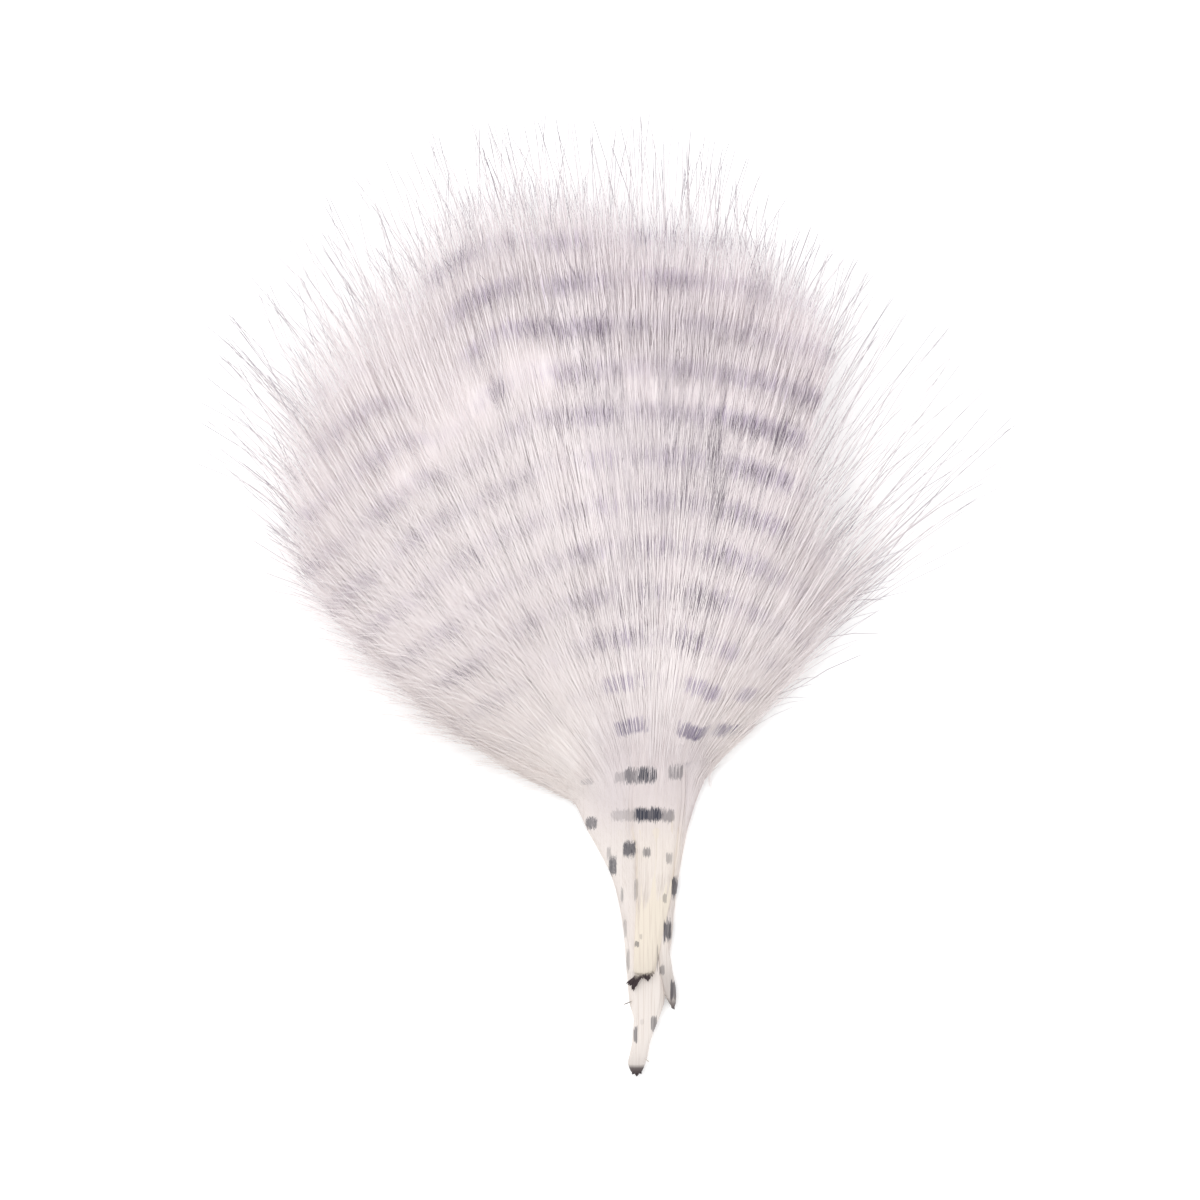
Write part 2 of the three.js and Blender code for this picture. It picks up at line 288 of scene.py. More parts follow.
def strip_edges(feather, y):
    """The left and right edge of the feather's strip of the stem at a height y."""
    heights, left, right = np.array(feather["strip"], float).T
    return np.interp(y, heights, left), np.interp(y, heights, right)


def layer(feather, angle, distance):
    """Lowest and highest place of the feather's strands in the fan. The pile thins to both sides. The
    upper feather takes the upper half of it where its fan lies, and the lower two take the rest."""
    side = smoothstep(angle, -70, -46) * (1 - smoothstep(angle, 12, 47))
    depth = pile_depth(distance) * (SIDE_DEPTH + (1 - SIDE_DEPTH) * side)
    cover = smoothstep(angle, -10, -2) * (1 - smoothstep(angle, 16, 23))
    parting = depth * (1 - 0.5 * cover)
    return (parting + 0.1 * cover, depth + 0.15) if feather["upper"] else (0 * depth + 0.25, parting)


def height(feather, angle, distance, raised, plan):
    """Height of a strand: on the stem it lies in the domed face of its strip, by its own angle, and in
    the fan at its raised share of the feather's layer, by its place in plan. The two blend between the
    throat and the shoulder."""
    low, high = layer(feather, polar(plan)[1], distance)
    fan = low + (high - low) * raised
    stem = feather["middle"] + feather["rise"] * dome(feather, angle) * (0.9 + 0.14 * raised)
    blend = smoothstep(distance, -2, SHOULDER)
    return stem * (1 - blend) + fan * blend


def dome(feather, angle):
    """Height of the strip's face across its width, from 0 at its edges to 1."""
    first, last = feather["fan"]
    share = np.clip((angle - first) / (last - first), 0, 1)
    return np.clip(1 - np.abs(2 * share - 1) ** 3, 0.02, 1) ** 0.5


def fan_plan(feather, angle, distance, length):
    """Plan of a barb in the fan: its angle from the throat opens by its bow and closes to its tip."""
    bow = feather["bow"] * np.minimum(1, length / FULL_BOW)
    turned = np.radians(angle * (1 + bow * (1 - distance / length)))
    return np.stack([np.sin(turned) * distance, np.cos(turned) * distance], -1)


def barb_plan(feather, angle, distance, length):
    """Plan of a barb from stem to tip. Below the throat it keeps its share of the strip's width, from
    the throat to the shoulder it is a cubic Hermite curve, and beyond it follows the fan."""
    first, last = feather["fan"]
    share = (angle - first) / (last - first)
    left, right = strip_edges(feather, np.minimum(distance, 0))
    stem = np.stack([left + (right - left) * share, distance], -1)
    left, right = strip_edges(feather, 0.0 * angle)
    gate_x = left + (right - left) * share
    gate = np.stack([gate_x, 0 * gate_x], -1)
    shoulder = fan_plan(feather, angle, SHOULDER + 0 * distance, length)
    beyond = fan_plan(feather, angle, SHOULDER + 1 + 0 * distance, length)
    t = np.clip(distance / SHOULDER, 0, 1)[..., None]
    leave = SHOULDER * np.stack([0.06 * gate_x, 1 + 0 * gate_x], -1)
    arrive = SHOULDER * (beyond - shoulder)
    curve = (
        (2 * t**3 - 3 * t**2 + 1) * gate
        + (t**3 - 2 * t**2 + t) * leave
        + (3 * t**2 - 2 * t**3) * shoulder
        + (t**3 - t**2) * arrive
    )
    fan = fan_plan(feather, angle, np.maximum(distance, SHOULDER), length)
    plan = np.where((distance < 0)[..., None], stem, curve)
    return np.where((distance > SHOULDER)[..., None], fan, plan)


def strand_mesh(name, path, half_width, values, flat=0.28):
    """Closed three-sided strands joined in one mesh: path is strands x stations x 3 in millimetres, the
    first and last station are points and each other carries a triangle of half_width, flat side down
    and low as flat. The two lower edges are sharp. values are named numbers for each station."""
    strands, stations, _ = path.shape
    along = np.gradient(path, axis=1)
    along /= np.linalg.norm(along, axis=2, keepdims=True) + 1e-9
    side = np.cross(along, [0, 0, 1.0])
    side /= np.linalg.norm(side, axis=2, keepdims=True) + 1e-9
    up = np.cross(side, along)
    inner = slice(1, stations - 1)
    turn = np.radians([90, 210, 330])
    wide = half_width[:, inner, None, None]
    ring = path[:, inner, None, :] + wide * (
        np.cos(turn)[None, None, :, None] * side[:, inner, None, :]
        + flat * np.sin(turn)[None, None, :, None] * up[:, inner, None, :]
    )
    rings = stations - 2
    each = 3 * rings + 2
    points = np.concatenate([path[:, :1], ring.reshape(strands, 3 * rings, 3), path[:, -1:]], 1)
    faces = []
    for k in range(3):
        n = (k + 1) % 3
        faces.append([0, 1 + k, 1 + n])
        faces.append([each - 1, 3 * rings - 2 + n, 3 * rings - 2 + k])
    for r in range(rings - 1):
        for k in range(3):
            a, b = 1 + 3 * r + k, 1 + 3 * r + (k + 1) % 3
            faces.append([a, a + 3, b])
            faces.append([b, a + 3, b + 3])
    faces = np.array(faces)[None] + each * np.arange(strands)[:, None, None]
    kept = {}
    for key, value in values.items():
        value = np.broadcast_to(value, (strands, stations))
        between = np.repeat(value[:, inner], 3, 1)
        kept[key] = np.concatenate([value[:, :1], between, value[:, -1:]], 1).ravel()
    piece = mesh_piece(name, points.reshape(-1, 3), faces.reshape(-1, 3), kept)
    ends = np.empty(2 * len(piece.data.edges), np.int32)
    piece.data.edges.foreach_get("vertices", ends)
    local = ends.reshape(-1, 2) % each
    line = np.where((local == 0) | (local == each - 1), 3, (local - 1) % 3)
    lower = (line > 0).all(1) & ((line[:, 0] == line[:, 1]) | (line == 3).any(1))
    sharp = piece.data.attributes.new("sharp_edge", "BOOLEAN", "EDGE")
    sharp.data.foreach_set("value", lower)
    return piece


def mesh_piece(name, points, faces, values):
    """A mesh from arrays: points in millimetres from the throat, triangles, and numbers on the points.
    Its bake map is the plan itself, as most of the pattern is a matter of place in plan."""
    place = (points + [THROAT_X, THROAT_Y, 0]) * MM
    mesh = bpy.data.meshes.new(name)
    mesh.vertices.add(len(place))
    mesh.vertices.foreach_set("co", place.astype(np.float32).ravel())
    mesh.loops.add(faces.size)
    mesh.loops.foreach_set("vertex_index", faces.astype(np.int32).ravel())
    mesh.polygons.add(len(faces))
    mesh.polygons.foreach_set("loop_start", np.arange(0, faces.size, 3, dtype=np.int32))
    mesh.update(calc_edges=True)
    mesh.polygons.foreach_set("use_smooth", np.ones(len(faces), bool))
    for key, value in values.items():
        numbers = mesh.attributes.new(key, "FLOAT", "POINT")
        numbers.data.foreach_set("value", np.asarray(value, np.float32))
    low, high = place[:, :2].min(0), place[:, :2].max(0)
    plan = (place[:, :2] - low) / (high - low).max()
    bake_map = mesh.uv_layers.new(name="OFBake")
    bake_map.uv.foreach_set("vector", plan[faces.ravel()].astype(np.float32).ravel())
    piece = bpy.data.objects.new(name, mesh)
    bpy.context.collection.objects.link(piece)
    return piece


def swell(stations, full_at=0.25, tip=0.15):
    """A strand's width along it: full from full_at, thinning to the tip's share at the end."""
    t = np.linspace(0, 1, stations)
    return smoothstep(t, -0.15, full_at) * (1 - (1 - tip) * t**2.2)


def lifted(plan, z):
    """Points from their plan and their height."""
    return np.concatenate([plan, z[..., None]], -1)


def swaying(random, plan, z, distance, amount, wave=(25, 60)):
    """Paths of strands from their plan and height, each moved sideways and up by a slow sine of its own
    that grows from nothing at the throat."""
    path = lifted(plan, z)
    count = len(path)
    length = random.uniform(*wave, (count, 1))
    start = random.uniform(0, 2 * np.pi, (count, 1))
    size = amount * random.normal(0, 1, (count, 1)) * smoothstep(distance, 4, 30)
    shift = size * np.sin(2 * np.pi * distance / length + start)
    heading = np.arctan2(path[..., 0], path[..., 1] + 6)
    path[..., 0] += shift * np.cos(heading)
    path[..., 1] -= shift * np.sin(heading)
    path[..., 2] += 0.5 * shift
    path[..., 2] = np.maximum(path[..., 2], LOWEST_STRAND)
    return path


def fan_angles(random, feather, count):
    """Angles of strands over the feather's fan, thinning out at its two edges, with more of them where
    the edge is a side of the plume."""
    first, last = feather["fan"]
    spread = random.uniform(first, last, (count, 1)) + random.normal(0, 2.0, (count, 1))
    beside = random.random((count, 1)) < (0 if feather["upper"] else EDGE_SHARE)
    inward = EDGE_WIDTH * random.random((count, 1))
    side = first + inward if last < 0 else last - inward
    spread = np.where(beside, side, spread)
    return np.clip(spread, max(first - 6, FAN_LIMITS[0]), min(last + 5, FAN_LIMITS[1]))


def uneven(random, distance, most):
    """Shifts each strand's bars by a little of its own, less near the throat."""
    return random.normal(0, most, (len(distance), 1)) * (0.25 + 0.75 * smoothstep(distance, 6, 30))


def strand_tips(random, plan, dark):
    """Darkness of strands besides their bars: their dark ends, and the streaks of dark barbs."""
    distance, angle = polar(plan)
    chosen = random.random((len(plan), 1)) ** 1.5
    return np.maximum(windows(STREAKED, angle, distance, 6.0) * chosen, dark)


def settled(random, distance, down, angle):
    """Share of the layer's height at which strands lie: close over the felted down, some of them
    anywhere in it, and at the tips and both sides of the fan spread through the whole depth."""
    count = len(distance)
    close = BED_SHARE + 0.005 + (1.01 - BED_SHARE) * random.random((count, 1)) ** 1.3
    spread = random.uniform(0.08, 1.0, (count, 1))
    close = np.where(random.random((count, 1)) < 0.05, spread, close)
    aside = smoothstep(-angle, 55, 62) + smoothstep(angle, 35, 40)
    out = np.maximum(smoothstep(distance / down, 0.66, 0.98), aside)
    return close * (1 - out) + spread * out


def long_barbs(key):
    """The feather's barbs, each from the stem to near the edge of the down, some to the hairs' reach."""
    feather = FEATHERS[key]
    random = np.random.default_rng(feather["seed"])
    count = feather["barbs"]
    angle = fan_angles(random, feather, count)
    down = reach(DOWN_REACH, angle)
    length = down * random.uniform(0.8, 1.02, (count, 1))
    longer = random.random((count, 1)) < 0.06
    length = np.where(longer, down + (reach(HAIR_REACH, angle) - down) * random.random((count, 1)), length)
    length = np.maximum(length, SHOULDER + 3)
    root = -np.abs(feather["strip"][0][0] + 6) * random.uniform(0.25, 0.95, (count, 1))
    below = root * np.array([1, 0.5, 0.27, 0.12, 0])
    above = SHOULDER + (length - SHOULDER) * np.linspace(0, 1, 6)
    between = np.broadcast_to([[5.0, 10.0]], (count, 2))
    distance = np.concatenate([below, between, above], 1)
    angle = angle + 0 * distance
    plan = barb_plan(feather, angle, distance, length + 0 * distance)
    z = height(feather, angle, distance, settled(random, distance, down, angle), plan)
    z = z - 0.25 * (1 - smoothstep(distance - root, 0, 5))
    path = swaying(random, plan, z, distance, 0.35)
    width = random.uniform(0.05, 0.085, (count, 1)) * (1 - 0.65 * smoothstep(distance / length, 0.45, 1))
    width = width * (0.7 + 0.3 * smoothstep(distance, -5, 8))
    along = distance - bar_shift(key, plan) + uneven(random, distance, 0.4)
    strength = barring(plan, feather["seed"]) * random.uniform(0.5, 1.1, (count, 1))
    tone = random.random((count, 1))
    dark = 0.7 * random.random((count, 1)) ** 2 * smoothstep(distance / length, 0.93, 1)
    values = dict(along=along, barring=strength, tone=tone, tip=strand_tips(random, plan, dark))
    return strand_mesh(key + "_barbs", path, width, values)


def tufts(key):
    """Short soft barbules that lie in and over the barbs, each a little off its barb's heading."""
    feather = FEATHERS[key]
    random = np.random.default_rng(feather["seed"] + 1)
    count, stations = feather["tufts"], 5
    angle = fan_angles(random, feather, count)
    down = reach(DOWN_REACH, angle)
    end = np.maximum(down * np.sqrt(random.uniform(0.03, 1.04, (count, 1))), 10)
    length = random.uniform(8, 24, (count, 1)) * smoothstep(end, -10, 60)
    t = np.linspace(0, 1, stations)
    distance = end - length * (1 - t)
    swerve = random.normal(0, 1, (count, 1)) * random.uniform(1, 5, (count, 1)) * 12 / (end + 12)
    turned = angle + swerve * t
    plan = barb_plan(feather, turned, np.maximum(distance, -3), down * BARB_REACH + 0 * distance)
    raised = settled(random, distance, down, angle)
    z = height(feather, turned, distance, raised + 0.02 * t, plan)
    path = swaying(random, plan, z, distance, 0.2, (10, 30))
    width = random.uniform(0.035, 0.07, (count, 1)) * swell(stations, tip=0.3)
    values = dict(
        along=distance - bar_shift(key, plan) + uneven(random, distance, 0.45),
        barring=barring(plan, feather["seed"]) * random.uniform(0.3, 1.15, (count, 1)),
        tone=random.random((count, 1)),
        tip=strand_tips(random, plan, 0),
    )
    return strand_mesh(key + "_tufts", path, width, values)


def dark_spikes(key):
    """Fine dark ends of barbs: each ends just beyond a bar, where the barring is strong. More places
    are drawn than are needed, and the first ones that fit are kept."""
    feather = FEATHERS[key]
    random = np.random.default_rng(feather["seed"] + 2)
    first, last = feather["fan"]
    angle = random.uniform(first, last, 8 * feather["spikes"])
    bar = random.integers(*SPIKED_BARS, len(angle))
    beyond = FIRST_BAR + BAR_PITCH * bar
    plan = fan_plan(feather, angle, beyond, reach(DOWN_REACH, angle) * BARB_REACH)
    strong = barring(plan, feather["seed"])
    wanted = (random.random(len(angle)) < strong) & (beyond < reach(DOWN_REACH, angle) + 2)
    wanted = np.flatnonzero(wanted)[: feather["spikes"]]
    strong = np.clip(0.3 + 2.0 * strong[wanted], 0, 1)
    angle, beyond = angle[wanted], (beyond + bar_shift(key, plan))[wanted]
    end = beyond + 0.6 + random.exponential(1.1, len(angle))
    if feather["upper"]:
        for middle, spread, low, high, many in CLUMPS:
            angle = np.append(angle, random.normal(middle, spread, many))
            end = np.append(end, random.uniform(low, high, many))
            strong = np.append(strong, np.full(many, CLUMP_DARKNESS))
    angle, end = angle[:, None], end[:, None]
    count, stations = len(angle), 5
    length = random.uniform(2.5, 6.5, (count, 1))
    t = np.linspace(0, 1, stations)
    distance = end - length * (1 - t)
    turned = angle + random.normal(0, 3, (count, 1)) * t * 14 / (end + 14)
    length_of_barb = reach(DOWN_REACH, angle) * BARB_REACH + 0 * distance
    plan = barb_plan(feather, turned, distance, length_of_barb)
    z = height(feather, turned, distance, random.uniform(0.98, 1.03, (count, 1)) + 0.03 * t, plan)
    path = swaying(random, plan, z, distance, 0.1, (10, 30))
    width = random.uniform(0.03, 0.055, (count, 1)) * swell(stations, 0.5, 0.1)
    values = dict(
        along=BETWEEN_BARS,
        barring=0.0,
        tone=random.random((count, 1)),
        tip=random.uniform(0.4, 1.0, (count, 1)) * smoothstep(t, 0, 0.5) * strong[:, None],
    )
    return strand_mesh(key + "_spikes", path, width, values)


def bowed_reach(feather, seen):
    """Outline of the down in plan at the angles seen: the farthest that bowed barbs come there."""
    first, last = feather["fan"]
    angle = np.linspace(max(first, -62), last + 8, 300)[:, None]
    length = reach(DOWN_REACH, angle)
    distance = length * np.linspace(0.3, 1, 80)
    bow = feather["bow"] * np.minimum(1, length / FULL_BOW)
    turned = angle * (1 + bow * (1 - distance / length))
    near = np.abs(turned.ravel()[:, None] - seen[None]) < 0.6
    farthest = np.where(near, distance.ravel()[:, None], 12).max(0)
    return np.stack([seen, farthest], -1)


def down_bed(key):
    """The felted down that fills the pile under the feather's open strands: a closed shell over angle
    and distance, its upper face a share of the layer's height that falls to nothing at its edges, with
    low ridges along the barbs from a sum of sines across them. Its columns run straight out from the
    throat to the outline of the bowed barbs. Where the upper feather reaches past those below it, its
    shell goes down to the floor."""
    feather = FEATHERS[key]
    first, last = feather["bed"]
    columns, rows = 120, 70
    u = np.linspace(0, 1, columns)[None]
    v = np.linspace(0, 1, rows)[:, None]
    angle = first + (last - first) * u + 0 * v
    outline = bowed_reach(feather, np.arange(first - 3, last + 4, 0.5))
    far = reach(outline, angle) * 0.91
    far = np.minimum(far, reach(outline, angle - 3) * 0.95)
    far = np.minimum(far, reach(outline, angle + 3) * 0.95)
    distance = 1 + (far - 1) * v
    plan = barb_plan(dict(feather, bow=0.0), angle, distance, far)
    edge = smoothstep(u, 0, 0.05) * (1 - smoothstep(u, 0.95, 1)) * smoothstep(v, 0, 0.1)
    edge = edge * (1 - smoothstep(v, 0.78, 1))
    ridge = 0.1 * np.sin(140 * u + 9 * np.sin(5 * u)) + 0.1 * np.sin(57 * u + 3 * v)
    raised = BED_SHARE * edge**0.5
    top = height(feather, angle, distance, raised, plan) + ridge * smoothstep(distance, 5, 25) * edge
    bottom = np.minimum(height(feather, angle, distance, 0.0 * angle, plan), top - 0.05)
    if feather["upper"]:
        beside = smoothstep(u, 0.8, 0.9) * smoothstep(v, 0.25, 0.4)
        beyond = np.maximum(smoothstep(v, 0.5, 0.65), beside)
        bottom = bottom * (1 - beyond) + np.minimum(bottom, 0.3) * beyond
    top = np.where(edge > 0, top, bottom + 0.05)
    points = np.concatenate([lifted(plan, top).reshape(-1, 3), lifted(plan, bottom).reshape(-1, 3)])
    count = columns * rows
    row, column = np.meshgrid(np.arange(rows - 1), np.arange(columns - 1), indexing="ij")
    a = (row * columns + column).ravel()
    b, c, d = a + 1, a + columns + 1, a + columns
    upper = np.concatenate([np.stack([a, b, c], -1), np.stack([a, c, d], -1)])
    lower = upper[:, ::-1] + count
    index = np.arange(count).reshape(rows, columns)
    rim = np.concatenate([index[0], index[1:, -1], index[-1, -2::-1], index[-2:0:-1, 0]])
    onward = np.roll(rim, -1)
    wall = [np.stack([rim, rim + count, onward + count], -1), np.stack([rim, onward + count, onward], -1)]
    values = dict(
        along=distance - bar_shift(key, plan),
        barring=0.8 * barring(plan, feather["seed"]),
        tone=1 + 0 * distance,
        tip=0 * distance,
    )
    values = {name: np.tile(value.ravel(), 2) for name, value in values.items()}
    return mesh_piece(key + "_down", points, np.concatenate([upper, lower, *wall]), values)


def loose(name, random, angle, turn, start, end, raised, half_width, tone, tip):
    """Loose fibres over the fan: each runs from start to end and turns aside by turn degrees on its way.
    tip is the darkness along it."""
    t = LOOSE_STATIONS
    distance = start + (end - start) * t
    turned = angle + turn * t**1.6
    feather = FEATHERS["top"]
    plan = barb_plan(feather, turned, distance, LOOSE_REACH + 0 * distance)
    side = smoothstep(turned, -74, -50) * (1 - smoothstep(turned, 16, 52))
    z = 0.3 + pile_depth(distance) * (SIDE_DEPTH + (1 - SIDE_DEPTH) * side) * raised
    path = swaying(random, plan, z, distance, 0.3, (20, 50))
    values = dict(along=BETWEEN_BARS, barring=0.0, tone=tone, tip=tip)
    taper = smoothstep(t, -0.15, 0.2) * (1 - 0.5 * t**2)
    return strand_mesh(name, path, half_width * taper, values)


def rim_hairs():
    """Thin hairs past the edge of the down: pale where they leave it and dark to the tip."""
    random = np.random.default_rng(HAIR_SEED)
    count = HAIRS
    angle = random.uniform(-63, 44, (count, 1))
    down, far = reach(DOWN_REACH, angle), reach(HAIR_REACH, angle)
    long = random.random((count, 1)) < 0.45
    far_share = 1.06 - 0.62 * random.random((count, 1)) ** 1.6
    near_share = random.uniform(0.02, 0.3, (count, 1))
    share = np.where(long, far_share, near_share)
    sparse = (angle > 23) & (random.random((count, 1)) < 0.15)
    share = np.where(sparse, 0.05, share)
    end = down + (far - down) * share
    start = down * random.uniform(0.6, 0.85, (count, 1))
    thick, thin = random.uniform(0.05, 0.075, (count, 1)), random.uniform(0.035, 0.05, (count, 1))
    width = np.where(long, thick, thin)
    before = (end - start) * (1 - LOOSE_STATIONS)
    clear = smoothstep(end - before, down, down + 8)
    dark = random.uniform(0.45, 1.0, (count, 1)) * (1 - (0.85 - 0.35 * clear) * smoothstep(before, 2, 11))
    dark = dark * (1 - 0.55 * smoothstep(-angle, 50, 55))
    turn = random.normal(0, 2.0, (count, 1)) + 0.22 * np.maximum(angle - 6, 0) * random.random((count, 1))
    raised = random.uniform(0.25, 0.95, (count, 1))
    return loose("rim_hairs", random, angle, turn, start, end, raised, width, 0.8, dark)


def wisps():
    """Soft pale fibres that stray over the two lower edges of the fan and across it, some of them
    standing off it."""
    random = np.random.default_rng(WISP_SEED)
    outer, inner = EDGE_WISPS, TOP_WISPS
    left = random.random((outer, 1)) < 0.65
    angle = np.where(left, random.uniform(-62, -50, (outer, 1)), random.uniform(36, 43, (outer, 1)))
    down = reach(DOWN_REACH, angle)
    start = down * random.uniform(0.2, 0.95, (outer, 1))
    turn = random.uniform(1, 14, (outer, 1)) * 24 / (start + 12) * np.where(left, -1, 0.35)
    end = start + random.uniform(8, 20, (outer, 1))
    raised = random.uniform(0.1, 0.9, (outer, 1))
    lobe = random.random((inner, 1)) < 0.6
    across = np.where(lobe, random.uniform(-54, -12, (inner, 1)), random.uniform(-12, 36, (inner, 1)))
    begin = random.uniform(14, 50, (inner, 1))
    angle = np.concatenate([angle, across])
    turn = np.concatenate([turn, -random.uniform(3, 14, (inner, 1)) * np.where(lobe, 1, 0.2)])
    start = np.concatenate([start, begin])
    end = np.concatenate([end, begin + random.uniform(14, 30, (inner, 1))])
    raised = np.concatenate([raised, random.uniform(0.97, 1.02, (inner, 1))])
    raised = raised + 0.25 * random.random((outer + inner, 1)) ** 2 * LOOSE_STATIONS**2
    width = random.uniform(0.018, 0.036, (outer + inner, 1))
    return loose("wisps", random, angle, turn, start, end, raised, width, 1.0, 0.03)


def pale_shafts():
    """Long straight pale barbs that lie over the bars, from the throat up the fan."""
    random = np.random.default_rng(SHAFT_SEED)
    feather = FEATHERS["top"]
    count, stations = SHAFTS, 9
    angle = random.normal(6, 12, (count, 1)).clip(-24, 34)
    start = random.uniform(4, 20, (count, 1))
    end = start + random.uniform(15, 55, (count, 1))
    t = np.linspace(0, 1, stations)
    distance = start + (end - start) * t
    turned = angle + random.normal(0, 2.5, (count, 1)) * t
    plan = barb_plan(feather, turned, distance, SHAFT_REACH + 0 * distance)
    z = height(feather, turned, distance, 1.0 + 0.06 * t, plan) + 0.1
    path = swaying(random, plan, z, distance, 0.15)
    width = random.uniform(0.05, 0.075, (count, 1)) * swell(stations, 0.2, 0.2)
    values = dict(along=BETWEEN_BARS, barring=0.0, tone=1.0, tip=0.0)
    return strand_mesh("pale_shafts", path, width, values)


def torn_ends():
    """Dark torn fibres at the ends of the quills, thick at the middle and drooping to the end."""
    start_x, start_y, end_x, end_y, wide, high, dark = np.array(TORN, float).T[..., None]
    t = np.linspace(0, 1, 7)
    x = start_x + (end_x - start_x) * t
    y = start_y + (end_y - start_y) * t
    z = high + 0.5 - 0.9 * t**2
    path = np.stack([x, y, z], -1)
    width = wide * (0.5 + 1.2 * t * (1.6 - t)) * smoothstep(1 - t, -0.2, 0.3)
    values = dict(along=0.0, barring=0.0, tone=0.6, tip=dark * smoothstep(t, 0.0, 0.25))
    return strand_mesh("torn_ends", path, width, values, flat=0.8)


def quill(key):
    """The feather's strip of the stem: a superellipse section carried up its edges and its thickness,
    grooved along its length by a sum of sines round the section, and closed at both ends."""
    feather = FEATHERS[key]
    rows, sides = 90, 64
    low, high = feather["strip"][0][0], SHOULDER - 1
    t = np.linspace(0, 1, rows)
    y = low + (high - low) * t
    left, right = strip_edges(feather, np.minimum(y, 0))
    inward = smoothstep(y, 0, SHOULDER)
    middle = (left + right) / 2 * (1 + 0.6 * inward)
    half = (right - left) / 2 * (1 - 0.55 * inward)
    close = np.sqrt(np.clip(np.minimum((y - low) / 0.8, (high - y) / 4), 0, 1)) + 1e-3
    turn = np.linspace(0, 2 * np.pi, sides, endpoint=False)
    c, s = np.cos(turn), np.sin(turn)
    across = np.sign(c) * np.abs(c) ** 0.9
    up = np.sign(s) * np.abs(s) ** 0.9
    groove = 0.035 * np.sin(9 * turn[None] + 0.6 * np.sin(y[:, None] / 4)) * (s[None] > 0)
    groove = groove + 0.02 * np.sin(17 * turn[None] + 0.9 * np.sin(y[:, None] / 6 + 1))
    size = close[:, None] * (1 + groove)
    depth = np.where(up > 0, feather["rise"], feather["sink"]) * (1 - 0.25 * inward[:, None])
    x = middle[:, None] + half[:, None] * size * across[None]
    z = feather["middle"] + depth * size * up[None]
    points = np.stack([x, np.broadcast_to(y[:, None], x.shape), z], -1).reshape(-1, 3)
    row, side = np.meshgrid(np.arange(rows - 1), np.arange(sides), indexing="ij")
    a = row * sides + side
    b = row * sides + (side + 1) % sides
    faces = np.concatenate([np.stack([a, b, b + sides], -1), np.stack([a, b + sides, a + sides], -1)], 1)
    ends = [points[:sides].mean(0), points[-sides:].mean(0)]
    points = np.concatenate([points, ends])
    around = np.arange(sides)
    start = np.stack([np.full(sides, len(points) - 2), (around + 1) % sides, around], -1)
    last = (rows - 1) * sides
    finish = np.stack([np.full(sides, len(points) - 1), last + around, last + (around + 1) % sides], -1)
    faces = np.concatenate([faces.reshape(-1, 3), start, finish])
    y_all = points[:, 1]
    dried = np.interp(y_all, *np.array(feather["dried"], float).T)
    values = dict(along=y_all, barring=0 * y_all, tone=0.7 + 0 * y_all, tip=dried)
    return mesh_piece(key + "_quill", points, faces, values)


class Socket:
    """An output of a node, with arithmetic: an expression on sockets and numbers adds Math nodes."""

    def __init__(self, shader, output):
        self.shader = shader
        self.output = output

    def _math(self, operation, *values):
        return self.shader.add("ShaderNodeMath", dict(operation=operation), *values)

    def __add__(self, other):
        return self._math("ADD", self, other)

    def __sub__(self, other):
        return self._math("SUBTRACT", self, other)

    def __rsub__(self, other):
        return self._math("SUBTRACT", other, self)

    def __mul__(self, other):
        return self._math("MULTIPLY", self, other)

    def __truediv__(self, other):
        return self._math("DIVIDE", self, other)

    __radd__ = __add__
    __rmul__ = __mul__

    def __pow__(self, other):
        return self._math("POWER", self, other)

    def __abs__(self):
        return self._math("ABSOLUTE", self)

    def fraction(self):
        return self._math("FRACT", self)

    def most(self, other):
        return self._math("MAXIMUM", self, other)

    def step(self, low, high):
        """0 at low and 1 at high, smooth between; low may lie above high."""
        settings = dict(interpolation_type="SMOOTHSTEP")
        return self.shader.add("ShaderNodeMapRange", settings, self, low, high, 0.0, 1.0)


class Shader:
    """A material and its nodes. add makes any node from its type, its settings and its inputs in
    order, or by name, and returns its first output."""

    def __init__(self, name):
        self.material = bpy.data.materials.new(name)
        self.material.use_nodes = True
        self.tree = self.material.node_tree
        self.surface = self.tree.nodes["Principled BSDF"]

    def add(self, kind, settings=None, *values, output=0, **named):
        node = self.tree.nodes.new(kind)
        for key, value in (settings or {}).items():
            setattr(node, key, value)
        for place, value in list(enumerate(values)) + list(named.items()):
            self.put(node.inputs[place], value)
        return Socket(self, node.outputs[output])

    def put(self, target, value):
        if isinstance(value, Socket):
            self.tree.links.new(value.output, target)
        else:
            target.default_value = value

    def number(self, attribute):
        return self.add("ShaderNodeAttribute", dict(attribute_name=attribute), output="Fac")

    def mix(self, share, first, second):
        node = self.tree.nodes.new("ShaderNodeMix")
        node.data_type = "RGBA"
        for place, value in ((0, share), (6, first), (7, second)):
            self.put(node.inputs[place], value)
        return Socket(self, node.outputs[2])

    def finish(self, **inputs):
        """The material, with the surface's inputs set by name, an underscore for each space."""
        for key, value in inputs.items():
            self.put(self.surface.inputs[key.replace("_", " ")], value)
        return self.material


def colour(red, green, blue):
    """An sRGB colour from 0 to 255, as the linear colour that a shader takes."""
    share = np.array([red, green, blue]) / 255
    linear = np.where(share <= 0.04045, share / 12.92, ((share + 0.055) / 1.055) ** 2.4)
    return (*linear.tolist(), 1.0)


